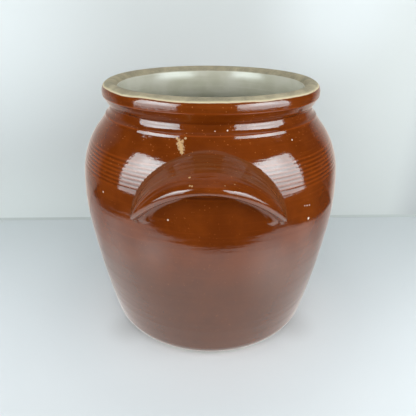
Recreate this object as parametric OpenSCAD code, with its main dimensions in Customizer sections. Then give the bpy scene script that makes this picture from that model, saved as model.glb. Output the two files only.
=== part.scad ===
// Confit pot: a thrown stoneware jar with a rolled rim and two lug handles,
// brown glaze outside, pale liner glaze inside, bare clay on the rim and under the foot.
// The origin is the middle of the foot, +Z is up, and the lugs face -Y and +Y.

/* [Pot] */
// Height from the foot to the top of the rim
pot_h = 270; // [243:1:297]
// Radius of the belly at its widest
belly_r = 136.5; // [128:0.5:146]
// Height of the widest part of the belly
belly_z = 157; // [152:1:162]
// Radius of the curve through the belly
belly_curve = 230; // [210:5:250]
// How far the belly curve runs on above the widest part, in degrees
belly_up = 6.7; // [5:0.1:8]
// How far the belly curve runs on below the widest part, in degrees
belly_down = 6.2; // [5:0.1:8]
// Radius of the shoulder curve
shoulder_curve = 85; // [80:1:90]
// Lean of the straight neck above the shoulder curve, from the upright in degrees
neck_lean = 36.9; // [33:0.1:40]
// Radius of the long curve of the lower wall
lower_curve = 950; // [800:10:1200]
// Radius that rounds the outside of the foot
foot_round = 20; // [12:0.5:24]

/* [Wall] */
// Thickness of the thrown wall
wall_t = 9.5; // [8:0.5:11]
// Thickness of the floor
floor_t = 11; // [9:0.5:14]
// Radius that rounds the corner inside between the wall and the floor
floor_round = 24; // [16:1:30]

/* [Neck and rim] */
// How far the collar band stands in from the top of the neck
collar_in = 5.1; // [4:0.1:6.5]
// Height of the collar band
collar_h = 5.8; // [4:0.2:7]
// Height from the top of the rim down to the crease under it
rim_h = 21.4; // [20:0.2:23]
// How far the rolled rim stands out past the collar band
rim_out = 5.1; // [4:0.1:6]
// Width of the rim from outside to inside
rim_w = 15.5; // [14:0.5:17]
// Height of the rim's rounded crown
crown_h = 8.5; // [7:0.5:8.5]
// Radius that rounds the lower edge of the rolled rim
rim_low_round = 7; // [5:0.5:8]
// Lean of the rim's underside from the upright, in degrees
rim_under = 33; // [32:1:40]
// Thickness of the clay at the throat, behind the collar band
throat_t = 11; // [10.4:0.1:12]
// Height of the thin throwing ridge above the shoulder
ridge_h = 1.8; // [1.2:0.1:2.4]
// Height of the thin ridge's lower edge, below the collar band
ridge_drop = 4.2; // [3.6:0.1:5]

/* [Comb grooves] */
// Number of comb grooves round the shoulder
comb_count = 7; // [3:1:9]
// Distance from one comb groove to the next
comb_pitch = 3.4; // [3:0.1:4]
// How far the top comb groove is below the top of the neck
comb_drop = 21.7; // [16:0.1:26]
// Depth of a comb groove
comb_depth = 0.45; // [0.3:0.05:0.8]
// Width of a comb groove
comb_w = 2; // [1.4:0.1:2.6]

/* [Lug handles] */
// Half the width of a lug, from its middle to the outside of a foot
lug_half_w = 69.5; // [62:0.5:76]
// Rise of the lug's root above its feet
lug_rise = 60.5; // [56.5:0.5:65]
// How far the top of a lug's root is below the top of the neck
lug_drop = 6.3; // [4:0.1:12]
// How full the root's arch is: 2 is a semi-ellipse, and less is more pointed
root_full = 1.95; // [1.85:0.01:2.1]
// Width of the lug's root on the wall, at the top of the arch
root_w = 16; // [14:0.5:19]
// How much wider the root is on its haunches, halfway up each side
haunch_w = 8.5; // [0:0.5:9]
// Width of the lug's root on the wall at its feet
foot_w = 11.5; // [10:0.5:13]
// Radius of the rounded lip
lip_r = 4.5; // [4:0.1:5.2]
// How far the middle of the lip stands in from the outside of a foot
lip_in = 4.5; // [3:0.1:6]
// How far the top of the lip is below the top of the root
lip_drop = 19; // [16:0.5:23]
// How far the lip stands out in front of the feet
lip_reach = 34.5; // [30:0.5:40]
// How pointed the lip's arch is in the front view: 1 is a semi-ellipse
lip_point = 1.8; // [1.5:0.05:1.95]
// How pointed the lip is in the view from above: 1 is a semi-ellipse
lip_bow = 1.6; // [1.4:0.05:1.8]
// How far the lip is pulled out of level, in degrees, as on a lug set by hand
lip_lean = 0; // [-3:0.5:3]
// How far each lug is set round from the middle, in degrees
lug_turn = -0.7; // [-2:0.1:2]
// How far the smoothed joint runs along the wall outside the lug
blend_out = 6; // [3:0.5:9]
// How far the smoothed joint runs along the wall under the lug
blend_in = 13.5; // [10:0.5:14]
// Clearance between a lug and the wall that it is pressed on to
lug_fit = 0.05; // [0.04:0.01:0.1]

/* [Glazes] */
// Thickness of the brown glaze outside
glaze_t = 0.5; // [0.3:0.05:0.8]
// Thickness of the pale liner glaze inside
liner_t = 0.5; // [0.3:0.05:0.8]
// Height above the foot at which the brown glaze was wiped away
glaze_low = 3; // [2:0.5:6]
// Width by which the glaze runs in under the edge of a lug, up to the bare clay of its joint
glaze_lap = 3; // [2:0.5:4]

/* [Hidden] */
$fn = 180;

clay_col = [0.70, 0.64, 0.52];
brown_col = [0.47, 0.22, 0.07];
liner_col = [0.73, 0.73, 0.68];

// Centres of the three tangent arcs of the wall, each [radius, height]
belly_c = [belly_r - belly_curve, belly_z];
shoulder_c = belly_c + (belly_curve - shoulder_curve) * [cos(belly_up), sin(belly_up)];
lower_c = belly_c + (belly_curve - lower_curve) * [cos(belly_down), -sin(belly_down)];
// Heights at which one arc gives way to the next
belly_top = belly_z + belly_curve * sin(belly_up);
belly_bottom = belly_z - belly_curve * sin(belly_down);

// Heights up the neck, down from the top of the rim
crease_z = pot_h - rim_h;
collar_top = crease_z - 1.3;
collar_foot = collar_top - collar_h;
ridge_foot = collar_foot - ridge_drop;
neck_top = ridge_foot - 1;
crown_z = pot_h - crown_h;

// The straight neck and each arc of the wall, in by d from its outside: radius at height z
function neck_start(d) = shoulder_c + (shoulder_curve - d) * [cos(neck_lean), sin(neck_lean)];
function neck_r(z, d) = neck_start(d)[0] - (z - neck_start(d)[1]) * tan(neck_lean);
function arc_r(c, curve, d, z) = c[0] + sqrt(pow(curve - d, 2) - pow(z - c[1], 2));
// A corner of radius e between the level at height base and the lower wall, in by d:
// the radius of its centre, and the height at which it meets the wall
function corner_c(e, base, d) = lower_c[0] + sqrt(pow(lower_curve - d - e, 2) - pow(base + e - lower_c[1], 2));
function corner_top(e, base, d) =
    lower_c[1] + (lower_curve - d) * (base + e - lower_c[1]) / (lower_curve - d - e);

// Radius of the wall at height z, in by d from its outside, above a corner of radius e at base
function wall_r(z, d = 0, e = foot_round, base = 0) =
    z < corner_top(e, base, d) ? corner_c(e, base, d) + sqrt(max(0, e * e - pow(base + e - z, 2)))
    : z < belly_bottom ? arc_r(lower_c, lower_curve, d, z)
    : z < belly_top ? arc_r(belly_c, belly_curve, d, z)
    : z < neck_start(d)[1] ? arc_r(shoulder_c, shoulder_curve, d, z)
    : neck_r(z, d);

// Equal steps, and the heights at which the foot's round turns by equal steps
function steps(n, from, to) = [for (i = [0 : n]) from + (to - from) * i / n];
foot_top = corner_top(foot_round, 0, 0);
foot_zs = [for (a = steps(8, 0, acos((foot_round - foot_top) / foot_round))) foot_round * (1 - cos(a))];
comb_top = neck_top - comb_drop;
comb_z = comb_top - (comb_count - 1) * comb_pitch;

// Outside of the wall in clay, out by g, up to the comb grooves
plain_zs = [
    for (z = foot_zs) if (z < glaze_low - 0.3) z,
    glaze_low,
    for (z = foot_zs) if (z > glaze_low + 0.3) z,
    for (z = steps(7, foot_top + 12, belly_bottom)) z,
    for (z = steps(5, belly_bottom + 9, comb_z - comb_pitch)) z,
];
function comb_pts(g) = [
    for (i = [0 : comb_count - 1], s = [-1, 0, 1])
        let (z = comb_z + i * comb_pitch + s * comb_w / 2)
        [wall_r(z) + g - (s == 0 ? comb_depth : 0), z]
];
curve_end = min(neck_start(0)[1], neck_top - 2);
function neck_pts(g) = [
    for (z = concat(steps(3, comb_top + comb_pitch, curve_end), neck_top)) [wall_r(z) + g, z]
];

// The thin ridge, the collar band and the crease under the rim
collar_r = wall_r(neck_top) - collar_in;
ridge_r = wall_r(ridge_foot + ridge_h / 2);
function collar_pts(g) = [
    [ridge_r + 0.3 + g, ridge_foot],
    [ridge_r - 1.7 + g, ridge_foot + ridge_h],
    [collar_r + 0.5 + g, collar_foot - 0.9],
    [collar_r + g, collar_foot],
    [collar_r - 1.4 + g, collar_top],
    [collar_r - 1.7 + g, crease_z - 0.5],
    [collar_r - 1.5 + g, crease_z + 0.5],
];

// The rolled rim: its leaning underside runs on into an arc up to its widest part
rim_r = collar_r + rim_out;
under_in = collar_r - 1.0;
under_end_r = rim_r - rim_low_round * (1 - cos(rim_under));
rim_mid = crease_z + 0.5 + (under_end_r - under_in) / tan(rim_under) + rim_low_round * sin(rim_under);
function rim_pts(g) = [
    for (a = steps(5, -rim_under, 0))
        [rim_r - rim_low_round + rim_low_round * cos(a) + g, rim_mid + rim_low_round * sin(a)]
];

// The crown is a full, flattened half round; step 0 is its outside and step crown_n its inside
crown_n = 24;
crown_fill = 2 / 2.1;
crown_c = rim_r - rim_w / 2;
function signed_pow(v, p) = sign(v) * pow(abs(v), p);
function crown_pt(i, g) =
    let (a = 180 * i / crown_n)
    [crown_c + (rim_w / 2 + g) * signed_pow(cos(a), crown_fill), crown_z + (crown_h + g) * pow(sin(a), crown_fill)];
// The brown glaze was wiped off the crown above this step
wipe_step = 3;

// The whole outside up to the crown, out by g
function outside(g, from = 0) = concat(
    [for (z = plain_zs) if (z >= from) [wall_r(z) + g, z]],
    comb_pts(g),
    neck_pts(g),
    collar_pts(g),
    rim_pts(g)
);

// The inside, in by d from the outside and up by f from the ground, with a coat g thick on
// the rim: it starts at the crown, turns in to the throat and follows the wall to the floor
throat_r = collar_r - throat_t;
under_throat = neck_top - 3;
function mix(a, b, t) = (1 - t) * a + t * b;
function bend(a, b, c, t) = mix(mix(a, b, t), mix(b, c, t), t);
function inside(d, f, g = 0) =
    let (
        rim_in = [rim_r - rim_w - g, crown_z],
        throat = [throat_r - g, collar_foot + 12.5],
        below = [wall_r(under_throat, d), under_throat],
        low = corner_top(floor_round, f, d)
    )
    concat(
        [for (t = steps(6, 0, 1)) bend(rim_in, [rim_in[0] - 0.8, crown_z - 3.9], throat, t)],
        [for (t = steps(8, 0, 1)) if (t > 0) bend(throat, [throat_r - g, collar_foot + 0.2], below, t)],
        [for (z = steps(8, under_throat - 6, belly_top)) [wall_r(z, d), z]],
        [for (z = steps(5, belly_top - 9, belly_bottom)) [wall_r(z, d), z]],
        [for (z = steps(5, belly_bottom - 15, low + 12)) [wall_r(z, d), z]],
        [
            for (a = steps(8, acos((f + floor_round - low) / floor_round), 0))
                let (z = f + floor_round * (1 - cos(a)))
                [wall_r(z, d, floor_round, f), z]
        ]
    );

// Height of a lug's feet, how far out they stand, and the wall in front of a point (x, z)
lug_z = neck_top - lug_drop - lug_rise;
feet_y = sqrt(pow(wall_r(lug_z), 2) - pow(lug_half_w, 2));
function wall_y(x, z, g) = sqrt(pow(wall_r(z) + g, 2) - x * x);

// A lug is a loft. Each of its sections stands in a plane through the line that runs out
// between the feet, turned by phi from the upright. A section's points are [rho, y]:
// rho is the distance from that line, and y the distance out from the middle of the pot.
function on_wall(rho, phi, g) = [rho, wall_y(rho * sin(phi), lug_z + rho * cos(phi), g)];
function in_space(p, phi) = [p[0] * sin(phi), -p[1], lug_z + p[0] * cos(phi)];

// Middle of the rounded lip at station t, in degrees: front view, and distance out.
// Past 90 degrees the lug runs out below its foot, narrows and sinks into the wall.
run_out = 9;
run_down = 0.5;
run_in = 1.05;
lip_half_w = lug_half_w - lip_in;
lip_rise = lug_rise - lip_drop;
function past(t) = max(0, abs(t) - 90);
function level(t) = abs(t) < 90 ? cos(t) : 0;
function lip_x(t) = sin(min(90, max(-90, t))) * (lip_half_w - 0.3 * past(t));
function lip_z(t) = lip_rise * pow(level(t), lip_point) - run_down * past(t);
function lip_y(t) = feet_y + 3 + lip_reach * pow(level(t), lip_bow) - run_in * past(t);
function lip_phi(t) = atan2(lip_x(t), lip_z(t)) + lip_lean * (1 - past(t) / run_out);

// Rho of the root's outer edge, a flattened half round in the front view, and of its inner
// edge; both draw in over the end of a foot
phi_end = lip_phi(90 + run_out);
function end_part(phi) = pow(max(0, (abs(phi) - 90) / (phi_end - 90)), 2);
function root_rho(phi) =
    pow(pow(abs(sin(phi)) / lug_half_w, root_full) + pow(abs(cos(phi)) / lug_rise, root_full), -1 / root_full)
    - 4 * end_part(phi);
function to_foot(phi) = pow(min(90, abs(phi)) / 90, 2);
function haunch(phi) = abs(phi) < 90 ? pow(abs(sin(2 * phi)), abs(phi) < 45 ? 2 : 1.4) : 0;
function joint_w(phi) =
    (mix(root_w, foot_w, to_foot(phi)) + haunch_w * haunch(phi))
    * (1 - 0.5 * end_part(phi));
function blend_w(phi) = blend_in * (1 - 0.4 * to_foot(phi)) * (1 - 0.5 * end_part(phi));
function foot_rho(phi) = root_rho(phi) - joint_w(phi) - blend_w(phi);

// Directions in which the lip's round meets the upper and the under side of the lug
function top_dir(phi) = 27 + 33 * pow(min(90, abs(phi)) / 90, 2);
function under_dir(phi) = 186 - 60 * pow(min(90, abs(phi)) / 90, 2);
function dir(a) = [cos(a), sin(a)];
function bend3(a, b, c, d, t) = mix(bend(a, b, c, t), bend(b, c, d, t), t);

// Upper side, lip and under side of a section, from the wall to the wall
top_n = 8;
lip_n = 7;
under_n = 7;
skin = glaze_t + 2 * lug_fit;
function hood(phi, lip) =
    let (
        outer = root_rho(phi),
        inner = foot_rho(phi),
        top = lip + lip_r * dir(top_dir(phi)),
        under = lip + lip_r * dir(under_dir(phi)),
        root = on_wall(outer, phi, skin),
        reach = norm(top - root),
        near = on_wall(outer - min(blend_out, reach / 2), phi, glaze_t + 1),
        far = top - 0.35 * reach * dir(top_dir(phi) + 90),
        corner = on_wall(inner + blend_w(phi), phi, skin)
    )
    concat(
        [for (s = steps(top_n, 0, 1)) if (s > 0) bend3(root, near, far, top, s)],
        [for (a = steps(lip_n, top_dir(phi), under_dir(phi))) if (a > top_dir(phi)) lip + lip_r * dir(a)],
        [for (s = steps(under_n, 0, 1)) if (s > 0 && s < 1) bend(under, corner, on_wall(inner, phi, skin), s)]
    );
hood_n = top_n + lip_n + under_n;

// Back of a section: it lies on the glaze at its edges and on the bare clay between them
back_n = 5;
joint_end = 5;
function joint_out(phi) = root_rho(phi) - glaze_lap;
function joint_in(phi) = foot_rho(phi) + glaze_lap;
function back(phi, deep) =
    let (from = joint_in(phi) + 0.3, to = joint_out(phi) - 0.3)
    concat(
        [on_wall(from, phi, glaze_t + lug_fit)],
        [for (rho = steps(back_n, from, to)) on_wall(rho, phi, lug_fit + (deep ? 0 : glaze_t))],
        [on_wall(to, phi, glaze_t + lug_fit)]
    );

// No point of a section lies inside the wall, and at its very end a lug is flush with it
function section(t) =
    let (
        phi = lip_phi(t),
        lip = [norm([lip_x(t), lip_z(t)]), lip_y(t)],
        arc = hood(phi, lip),
        flat = pow(past(t) / run_out, 2)
    )
    [
        for (p = concat(
            [on_wall(root_rho(phi), phi, glaze_t + lug_fit)],
            [
                for (i = [0 : hood_n - 2])
                    let (
                        p = [arc[i][0], max(arc[i][1], on_wall(arc[i][0], phi, skin)[1])],
                        rho = mix(root_rho(phi), foot_rho(phi), (i + 1) / hood_n)
                    )
                    mix(p, on_wall(rho, phi, skin), flat)
            ],
            [on_wall(foot_rho(phi), phi, glaze_t + lug_fit)],
            back(phi, past(t) < joint_end)
        )) in_space(p, phi)
    ];

// The stations are closer together over the top of the arch, and again at the feet
station_n = 48;
foot_stations = [2, 4, 6, 8, run_out];
stations = concat(
    [for (i = [4 : -1 : 0]) -90 - foot_stations[i]],
    [for (s = steps(station_n, -1, 1)) 90 * s - 14 * sin(180 * s)],
    [for (t = foot_stations) 90 + t]
);
module lug() {
    rings = [for (t = stations) section(t)];
    m = len(rings[0]);
    last = (len(rings) - 1) * m;
    color(brown_col)
        polyhedron(
            points = [for (ring = rings, p = ring) p],
            faces = concat(
                [[for (j = [0 : m - 1]) j]],
                [
                    for (i = [0 : len(rings) - 2], j = [0 : m - 1])
                        let (k = (j + 1) % m, a = i * m)
                        each [[a + j, a + m + j, a + m + k], [a + j, a + m + k, a + k]]
                ],
                [[for (j = [m - 1 : -1 : 0]) last + j]]
            )
        );
}

// Opening in the glaze, in front view, where a lug is joined to the bare clay
window_end = lip_phi(90 + joint_end + 1.5);
module joint_window() {
    phis = steps(48, -window_end, window_end);
    rotate([90, 0, 0])
        linear_extrude(belly_r + 20)
            polygon(concat(
                [for (phi = phis) joint_out(phi) * [sin(phi), cos(phi)] + [0, lug_z]],
                [for (i = [len(phis) - 1 : -1 : 0])
                    joint_in(phis[i]) * [sin(phis[i]), cos(phis[i])] + [0, lug_z]]
            ));
}

module stoneware_body() {
    color(clay_col)
        rotate_extrude()
            polygon(concat(
                [[0, 0]],
                outside(0),
                [for (i = [1 : crown_n - 1]) crown_pt(i, 0)],
                inside(wall_t, floor_t),
                [[0, floor_t]]
            ));
}

module front_lug() {
    rotate([0, 0, lug_turn])
        lug();
}

module rear_lug() {
    rotate([0, 0, 180 + lug_turn])
        lug();
}

// The glaze lies on the clay and laps in under the edges of each lug, which carries its
// own glaze; the clay is bare where a lug is joined to it
module brown_glaze() {
    clay = concat(outside(0, glaze_low), [for (i = [1 : wipe_step]) crown_pt(i, 0)]);
    coat = concat(outside(glaze_t, glaze_low), [for (i = [1 : wipe_step]) crown_pt(i, glaze_t)]);
    color(brown_col)
        difference() {
            rotate_extrude()
                polygon(concat(coat, [for (i = [len(clay) - 1 : -1 : 0]) clay[i]]));
            rotate([0, 0, lug_turn])
                joint_window();
            rotate([0, 0, 180 + lug_turn])
                joint_window();
        }
}

module liner_glaze() {
    clay = inside(wall_t, floor_t);
    coat = inside(wall_t + liner_t, floor_t + liner_t, liner_t);
    color(liner_col)
        rotate_extrude()
            polygon(concat(
                clay,
                [[0, floor_t], [0, floor_t + liner_t]],
                [for (i = [len(coat) - 1 : -1 : 0]) coat[i]]
            ));
}

stoneware_body();
front_lug();
rear_lug();
brown_glaze();
liner_glaze();
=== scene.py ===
# %% [markdown]
# # A confit pot, glazed brown outside and pale inside
#
# The solid part comes first, as a frame that never moves. Over it this lesson turns finer
# pieces on the same outline, with the small marks that a potter's hands leave, and then
# mixes the glazes. Everything is in metres, with the foot of the pot at the origin.

import math
import bpy
import bmesh
from mathutils import Matrix, Vector, noise


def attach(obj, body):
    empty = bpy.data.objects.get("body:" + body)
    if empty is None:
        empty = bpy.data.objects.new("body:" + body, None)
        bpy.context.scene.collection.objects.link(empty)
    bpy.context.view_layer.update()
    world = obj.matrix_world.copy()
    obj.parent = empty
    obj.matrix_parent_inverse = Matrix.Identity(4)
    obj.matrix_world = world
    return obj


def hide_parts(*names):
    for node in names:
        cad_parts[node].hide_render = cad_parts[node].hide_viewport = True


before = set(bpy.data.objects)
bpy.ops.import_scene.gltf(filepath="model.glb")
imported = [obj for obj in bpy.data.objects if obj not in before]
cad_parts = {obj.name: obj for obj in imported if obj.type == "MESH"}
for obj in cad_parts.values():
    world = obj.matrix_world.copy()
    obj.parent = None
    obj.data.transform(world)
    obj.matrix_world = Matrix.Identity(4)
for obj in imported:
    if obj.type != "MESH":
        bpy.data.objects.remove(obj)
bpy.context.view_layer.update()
print("nodes:", sorted(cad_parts))

# %% [markdown]
# ## The outline of the wall
#
# A thrown wall is a run of smooth curves, one into the next. Three arcs and a straight neck
# describe it: a long shallow one up from the foot, a short one round the belly, and a tight
# one over the shoulder. One formula gives the radius at any height, so the clay, the coats
# and the joints of the lugs all lie on the same wall. The sizes are in millimetres, as in
# the solid part.

# %% Sizes of the pot
BELLY_R, BELLY_Z = 136.5, 157.0
BELLY_CURVE, SHOULDER_CURVE, LOWER_CURVE = 230.0, 85.0, 950.0
BELLY_UP, BELLY_DOWN, NECK_LEAN = 6.7, 6.2, 36.9
FOOT_ROUND, FLOOR_ROUND, WALL_T, FLOOR_T = 20.0, 24.0, 9.5, 11.0
COAT_T = 0.5


def turned(degrees):
    """A unit step in the plane of the outline, turned up from level."""
    a = math.radians(degrees)
    return Vector((math.cos(a), math.sin(a)))


belly_c = Vector((BELLY_R - BELLY_CURVE, BELLY_Z))
shoulder_c = belly_c + (BELLY_CURVE - SHOULDER_CURVE) * turned(BELLY_UP)
lower_c = belly_c + (BELLY_CURVE - LOWER_CURVE) * turned(-BELLY_DOWN)
belly_top = BELLY_Z + BELLY_CURVE * math.sin(math.radians(BELLY_UP))
belly_bottom = BELLY_Z - BELLY_CURVE * math.sin(math.radians(BELLY_DOWN))


def arc_r(c, curve, z):
    """Radius at height z on an arc round c."""
    return c[0] + math.sqrt(curve**2 - (z - c[1]) ** 2)


def wall_r(z, d=0.0, e=FOOT_ROUND, base=0.0):
    """Radius of the wall at height z, in by d, above a corner of radius e at base."""
    rise = base + e - lower_c[1]
    reach = LOWER_CURVE - d - e
    if z < lower_c[1] + (LOWER_CURVE - d) * rise / reach:
        corner = lower_c[0] + math.sqrt(reach**2 - rise**2)
        return corner + math.sqrt(max(0.0, e * e - (base + e - z) ** 2))
    if z < belly_bottom:
        return arc_r(lower_c, LOWER_CURVE - d, z)
    if z < belly_top:
        return arc_r(belly_c, BELLY_CURVE - d, z)
    neck = shoulder_c + (SHOULDER_CURVE - d) * turned(NECK_LEAN)
    if z < neck[1]:
        return arc_r(shoulder_c, SHOULDER_CURVE - d, z)
    return neck[0] - (z - neck[1]) * math.tan(math.radians(NECK_LEAN))


print("belly", wall_r(157), "neck", round(wall_r(236.3), 2))

# %% [markdown]
# ## Comb grooves and throwing rings
#
# While the pot still turns, the potter holds a comb against the shoulder, and it leaves a
# set of level grooves. The grooves here are smooth hollows of slightly different depth. The
# fingers also leave broad, very low rings all the way up. They are far too low to see by
# themselves, but a glossy glaze shows them, because they bend its reflections.

# %% Grooves and rings as an offset to the wall
GROOVES = (
    (194.2, 0.13), (197.7, 0.12), (201.3, 0.05), (204.7, 0.06),
    (207.9, 0.05), (211.2, 0.06), (214.6, 0.05),
)
GROOVE_W, LAND_UP, LAND_W, LAND_H = 0.95, 1.7, 0.8, 0.05
RING_H, BROAD_RING, NARROW_RING, RINGS_FROM = 0.16, 11.0, 4.5, 8.0
TUCK_FROM, TUCK_IN, BELLY_IN, BELLY_SPREAD = 222.0, 0.5, 0.15, 28


def mark(z):
    """How far the comb and the fingers move the wall at height z, in mm."""
    off = 0.0
    for at, depth in GROOVES:
        d = (z - at) / GROOVE_W
        off -= depth * math.exp(-d * d)
        d = (z - at - LAND_UP) / LAND_W
        off += LAND_H * math.exp(-d * d)
    ring = noise.noise(Vector((0.0, 3.1, z / BROAD_RING)))
    ring += 0.5 * noise.noise(Vector((7.7, 0.0, z / NARROW_RING)))
    fade = min(1.0, max(0.0, (z - RINGS_FROM) / 20.0))
    tuck = min(1.0, max(0.0, (z - TUCK_FROM) / 10.0))
    belly = math.exp(-(((z - BELLY_Z) / BELLY_SPREAD) ** 2))
    return off + RING_H * ring * fade - TUCK_IN * tuck * tuck * (3 - 2 * tuck) - BELLY_IN * belly


print("deepest mark", round(min(mark(z / 4) for z in range(40, 940)), 2), "mm")

# %% [markdown]
# ## The neck and the rolled rim
#
# The top of the wall is folded out and pressed into a thick roll, so the mouth can take
# knocks and a cloth can be tied under it. Below it come a crease, a collar band and one thin
# ridge. A few points set these, and a smooth curve is drawn through them, because wet clay
# has no sharp corners.

# %% A smooth curve through points
def smooth_line(points, per):
    """A curve through the points, with `per` steps between one and the next."""
    line = []
    pts = [Vector(p) for p in points]
    for i in range(len(pts) - 1):
        a, b = pts[i], pts[i + 1]
        before = pts[i - 1] if i else a + (a - b)
        after = pts[i + 2] if i + 2 < len(pts) else b + (b - a)
        length = (b - a).length
        ta = (b - before).normalized() * length
        tb = (after - a).normalized() * length
        for k in range(per):
            t = k / per
            h1, h2 = 2 * t**3 - 3 * t**2 + 1, -2 * t**3 + 3 * t**2
            h3, h4 = t**3 - 2 * t**2 + t, t**3 - t**2
            line.append(h1 * a + h2 * b + h3 * ta + h4 * tb)
    line.append(pts[-1])
    return line


NECK = [
    (wall_r(231.6) - TUCK_IN, 231.6), (111.3, 233.9), (109.9, 235.9), (109.3, 236.8), (109.0, 237.5),
    (108.65, 238.3), (108.3, 239.0), (107.75, 239.55), (107.1, 240.05), (106.5, 240.6), (105.8, 241.35),
    (105.2, 242.2), (104.7, 243.1), (104.25, 244.3), (103.9, 245.5), (103.5, 246.6), (103.25, 247.4),
    (103.3, 248.2), (103.9, 248.9), (104.9, 249.9), (105.9, 251.3), (107.3, 253.9), (109.0, 256.8),
    (109.6, 257.6), (109.95, 258.4), (110.0, 259.5), (110.0, 261.0),
]
neck_line = smooth_line(NECK, 4)
print("neck of", len(neck_line), "points, up to", round(neck_line[-1][1], 1))

# %% [markdown]
# The crown of the roll is a little fuller than half an ellipse, as clay is when it is pressed
# down from above. A power of the sine and cosine, just under one, fills its corners.

# %% The crown of the rim
RIM_R, RIM_W, CROWN_Z, CROWN_H, CROWN_FULL = 110.0, 15.5, 261.5, 8.5, 2 / 2.1


def crown(steps=44):
    """The rounded top of the rim, from outside to inside."""
    line = []
    for i in range(1, steps + 1):
        a = math.pi * i / steps
        c, s = math.cos(a), math.sin(a)
        line.append(Vector((
            RIM_R - RIM_W / 2 + RIM_W / 2 * math.copysign(abs(c) ** CROWN_FULL, c),
            CROWN_Z + CROWN_H * max(0.0, s) ** CROWN_FULL,
        )))
    return line


crown_line = crown()
print("top of the rim", round(max(p[1] for p in crown_line), 2))

# %% [markdown]
# The outside is the wall with its marks, then the neck, then the crown. It needs close points
# only over the comb grooves. The inside runs one wall thickness further in. It has a narrow
# throat where the roll was folded over, and a wide round corner that a ladle can clean out.

# %% The outside, from the foot round the rim
MARKS_TO, COMBED, FINE_STEP, STEP = 229.8, (190, 218), 0.42, 1.6
FOOT_TURN, FLOOR_TURN = 7.0, 4.9


def outside_line():
    """The wall with the marks on it, the neck and the crown, as (radius, height) in mm."""
    line = []
    for a in range(13):
        z = FOOT_ROUND * (1 - math.cos(math.radians(a * FOOT_TURN)))
        line.append(Vector((wall_r(z), z)))
    while z < MARKS_TO:
        z += FINE_STEP if COMBED[0] < z < COMBED[1] else STEP
        line.append(Vector((wall_r(z) + mark(z), z)))
    return line + neck_line + crown_line


outer = outside_line()
print(len(outer), "points outside")

# %% The inside, from the rim down the throat to the floor
THROAT_R, THROAT_Z, THROAT_END_Z, INNER_TOP, INNER_STEP = 93.6, 254.0, 241.7, 233.3, 2.4


def bend(a, b, c, t):
    """A point on the curve that leaves a towards b and comes to c from b."""
    a, b, c = Vector(a), Vector(b), Vector(c)
    return (a.lerp(b, t)).lerp(b.lerp(c, t), t)


def inside_line():
    """The throat, the wall and the corner of the floor, from the top down."""
    rim_in = (RIM_R - RIM_W, CROWN_Z)
    throat = (THROAT_R, THROAT_Z)
    below = (wall_r(INNER_TOP, WALL_T), INNER_TOP)
    line = [bend(rim_in, (rim_in[0] - 0.8, CROWN_Z - 3.9), throat, t / 10) for t in range(10)]
    line += [bend(throat, (THROAT_R, THROAT_END_Z), below, t / 16) for t in range(16)]
    z = INNER_TOP
    while z > FLOOR_T + FLOOR_ROUND + 1:
        ripple = 0.25 * noise.noise(Vector((1.3, 9.0, z / 9.0))) * min(1.0, (INNER_TOP - z) / 15)
        line.append(Vector((wall_r(z, WALL_T) + ripple, z)))
        z -= INNER_STEP
    for a in range(18, -1, -1):
        z = FLOOR_T + FLOOR_ROUND * (1 - math.cos(math.radians(a * FLOOR_TURN)))
        line.append(Vector((wall_r(z, WALL_T, FLOOR_ROUND, FLOOR_T), z)))
    return line


inner = inside_line()
print(len(inner), "points inside")

# %% [markdown]
# ## Turning the pieces
#
# A wheel makes one shape only: an outline swept round an axis. The spin operator does the
# same. The clay is one closed outline from the middle of the foot round to the middle of the
# floor. Each glaze is a thin closed outline of its own, so that every coat is a real piece.

# %% A potter's wheel
TURN_STEPS = 200


def finish_piece(name, bm, sharp=45):
    """Makes the mesh an object, smooth all over but for edges sharper than so many degrees."""
    for f in bm.faces:
        f.smooth = True
    for e in bm.edges:
        if len(e.link_faces) == 2 and e.calc_face_angle(0.0) > math.radians(sharp):
            e.smooth = False
    mesh = bpy.data.meshes.new(name)
    bm.to_mesh(mesh)
    bm.free()
    piece = bpy.data.objects.new(name, mesh)
    bpy.context.scene.collection.objects.link(piece)
    print(name, len(mesh.polygons), "faces")
    return piece


def turn(name, line, closed=False):
    """Spins an outline of (radius, height) in mm into a piece."""
    bm = bmesh.new()
    verts = [bm.verts.new((p[0] / 1000, 0.0, p[1] / 1000)) for p in line]
    pairs = list(zip(verts, verts[1:])) + ([(verts[-1], verts[0])] if closed else [])
    edges = [bm.edges.new(pair) for pair in pairs]
    bmesh.ops.spin(bm, geom=verts + edges, cent=(0, 0, 0), axis=(0, 0, 1),
                   angle=2 * math.pi, steps=TURN_STEPS, use_merge=True)
    bmesh.ops.remove_doubles(bm, verts=bm.verts, dist=1e-6)
    bmesh.ops.recalc_face_normals(bm, faces=bm.faces)
    return finish_piece(name, bm)


# %% The clay
clay = turn("thrown_clay", [Vector((0, 0))] + outer + inner + [Vector((0, FLOOR_T))])

# %% [markdown]
# ## The two coats of glaze
#
# The outer coat runs from just above the foot to the shoulder of the rim, where a wet sponge
# wiped it off. It thins out over its last few millimetres. The liner does the same on the
# inner side of the rim.

# %% Coats that thin out at their ends
BROWN_FROM, BROWN_THINS, BROWN_TO = 3.0, 262.5, 268.6
LINER_CLIMBS, LEAST_COAT = 6, 0.04


def coat(line, side, thick, thin_from, thin_to):
    """The same line moved out by the coat's thickness, which thins between two indices."""
    moved = []
    for i, p in enumerate(line):
        a, b = line[max(0, i - 1)], line[min(len(line) - 1, i + 1)]
        n = Vector((b[1] - a[1], a[0] - b[0])).normalized() * side
        left = min(1.0, max(LEAST_COAT, (thin_to - i) / max(1, thin_to - thin_from)))
        moved.append(p + n * thick * left)
    return moved


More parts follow.
